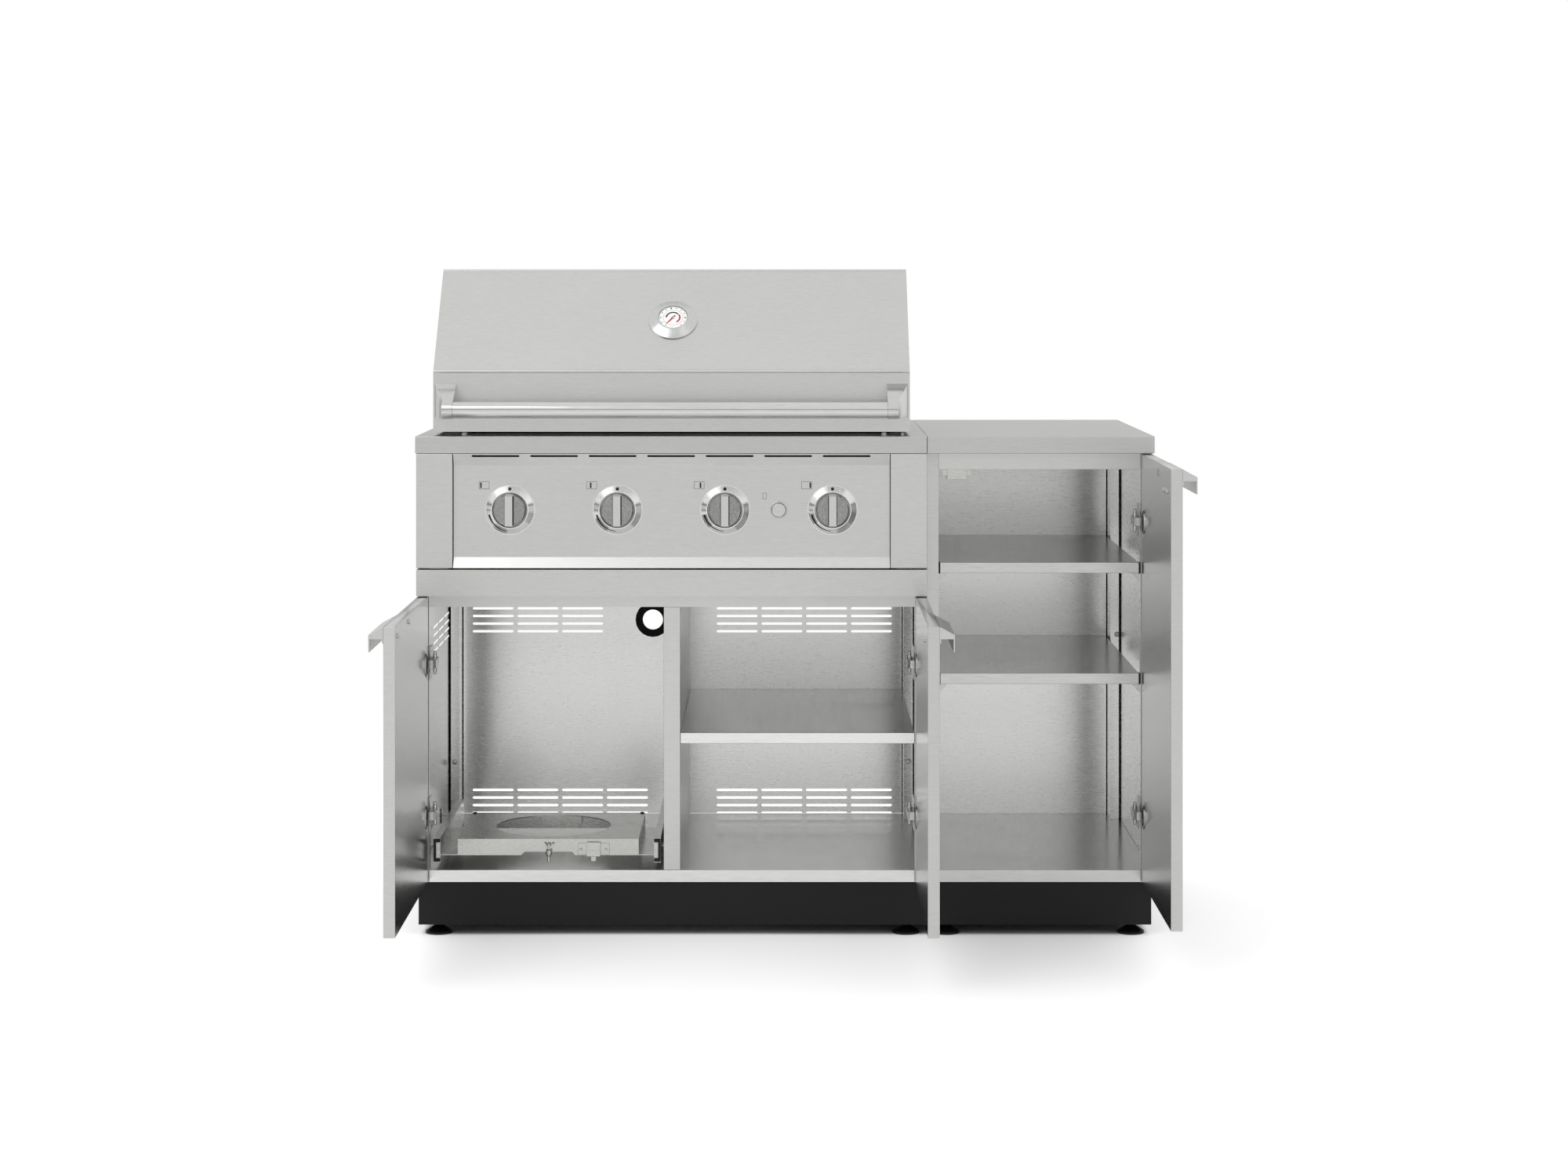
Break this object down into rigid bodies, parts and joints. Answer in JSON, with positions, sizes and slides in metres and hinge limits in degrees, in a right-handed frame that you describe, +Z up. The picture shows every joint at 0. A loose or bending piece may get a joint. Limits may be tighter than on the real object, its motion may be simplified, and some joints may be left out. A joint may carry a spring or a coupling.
{
  "type": "outdoor kitchen island",
  "caption": "Stainless outdoor kitchen island: a built-in gas grill with a hinged hood over a two-door cabinet, beside a narrow storage cabinet with shelves and one door.",
  "frame": {"origin": "on the ground, under the middle of the island's outline with its doors open", "axes": "+X along the island towards the storage cabinet, +Z up, the front with the doors faces -Y"},
  "size_m": [1.3934, 1.0434, 1.2177],
  "materials": {
    "brushed_sheet": "horizontal brushed grain",
    "worktop_sheet": "brushed along the worktop",
    "polished_trim": "polished",
    "plated_parts": "plated, satin",
    "firebox_sheet": "dull mill finish",
    "black_steel": "black powder coat",
    "grommet_rubber": "matt",
    "foot_plastic": "matt black"
  },
  "bodies": {
    "cabinet": {"grill_side_left": "brushed_sheet", "grill_side_right": "brushed_sheet", "grill_back": "brushed_sheet", "grill_floor": "brushed_sheet", "grill_fascia": "brushed_sheet", "grill_divider": "brushed_sheet", "grill_shelf": "brushed_sheet", "grill_cheek_left": "brushed_sheet", "grill_cheek_right": "brushed_sheet", "control_panel": "brushed_sheet", "grill_worktop": "worktop_sheet", "gas_manifold": "plated_parts", "burner_set": "firebox_sheet", "firebox": "firebox_sheet", "cooking_grate_left": "plated_parts", "cooking_grate_right": "plated_parts", "grill_plinth": "black_steel", "hose_grommet": "grommet_rubber", "grill_foot_front_left": "foot_plastic", "grill_foot_front_right": "foot_plastic", "grill_foot_rear_left": "foot_plastic", "grill_foot_rear_right": "foot_plastic", "tray_slide_left": "plated_parts", "tray_slide_right": "plated_parts", "grill_hinge_left_upper": "plated_parts", "grill_hinge_left_lower": "plated_parts", "grill_hinge_right_upper": "plated_parts", "grill_hinge_right_lower": "plated_parts", "storage_wrapper": "brushed_sheet", "storage_floor": "brushed_sheet", "storage_top_rail": "brushed_sheet", "storage_shelf_upper": "brushed_sheet", "storage_shelf_lower": "brushed_sheet", "storage_worktop": "worktop_sheet", "storage_plinth": "black_steel", "magnetic_catch": "plated_parts", "storage_hinge_upper": "plated_parts", "storage_hinge_lower": "plated_parts", "storage_foot_front_left": "foot_plastic", "storage_foot_front_right": "foot_plastic", "storage_foot_rear_left": "foot_plastic", "storage_foot_rear_right": "foot_plastic"},
    "hood": {"hood": "brushed_sheet", "hood_handle_tube": "brushed_sheet", "hood_handle_post_left": "brushed_sheet", "hood_handle_post_right": "brushed_sheet", "thermometer": "polished_trim"},
    "grill_door_left": {"grill_door_left": "brushed_sheet", "grill_pull_left": "brushed_sheet"},
    "grill_door_right": {"grill_door_right": "brushed_sheet", "grill_pull_right": "brushed_sheet"},
    "storage_door": {"storage_door": "brushed_sheet", "storage_pull": "brushed_sheet"},
    "tank_tray": {"tank_tray": "plated_parts"},
    "grease_tray": {"grease_tray": "firebox_sheet"},
    "knob_1": {"knob_1": "polished_trim"},
    "knob_2": {"knob_2": "polished_trim"},
    "knob_3": {"knob_3": "polished_trim"},
    "knob_4": {"knob_4": "polished_trim"},
    "igniter_button": {"igniter_button": "polished_trim"}
  },
  "joints": [
    {"name": "hood_hinge", "type": "hinge", "parent": "cabinet", "child": "hood", "pos_m": [-0.2075, 0.42573, 0.965], "axis": [-1, 0, 0], "range_deg": [0, 85]},
    {"name": "grill_door_left_hinge", "type": "hinge", "parent": "cabinet", "child": "grill_door_left", "pos_m": [-0.66135, -0.06828, 0.36], "axis": [0, 0, -1], "range_deg": [-90, 5]},
    {"name": "grill_door_right_hinge", "type": "hinge", "parent": "cabinet", "child": "grill_door_right", "pos_m": [0.24855, -0.06828, 0.36], "axis": [0, 0, 1], "range_deg": [-90, 0]},
    {"name": "storage_door_hinge", "type": "hinge", "parent": "cabinet", "child": "storage_door", "pos_m": [0.66135, -0.06828, 0.49], "axis": [0, 0, 1], "range_deg": [-90, 5]},
    {"name": "tank_tray_slide", "type": "slide", "parent": "cabinet", "child": "tank_tray", "axis": [0, -1, 0], "range_m": [0, 0.33]},
    {"name": "grease_tray_slide", "type": "slide", "parent": "cabinet", "child": "grease_tray", "axis": [0, 1, 0], "range_m": [0, 0.35]},
    {"name": "knob_1_turn", "type": "hinge", "parent": "cabinet", "child": "knob_1", "pos_m": [-0.501, -0.07328, 0.7793], "axis": [0, -1, 0], "range_deg": [0, 180]},
    {"name": "knob_2_turn", "type": "hinge", "parent": "cabinet", "child": "knob_2", "pos_m": [-0.3051, -0.07328, 0.7793], "axis": [0, -1, 0], "range_deg": [0, 180]},
    {"name": "knob_3_turn", "type": "hinge", "parent": "cabinet", "child": "knob_3", "pos_m": [-0.1092, -0.07328, 0.7793], "axis": [0, -1, 0], "range_deg": [0, 180]},
    {"name": "knob_4_turn", "type": "hinge", "parent": "cabinet", "child": "knob_4", "pos_m": [0.0867, -0.07328, 0.7793], "axis": [0, -1, 0], "range_deg": [0, 180]},
    {"name": "igniter_push", "type": "slide", "parent": "cabinet", "child": "igniter_button", "axis": [0, 1, 0], "range_m": [0, 0.003], "stiffness_N_per_m": 400}
  ]
}
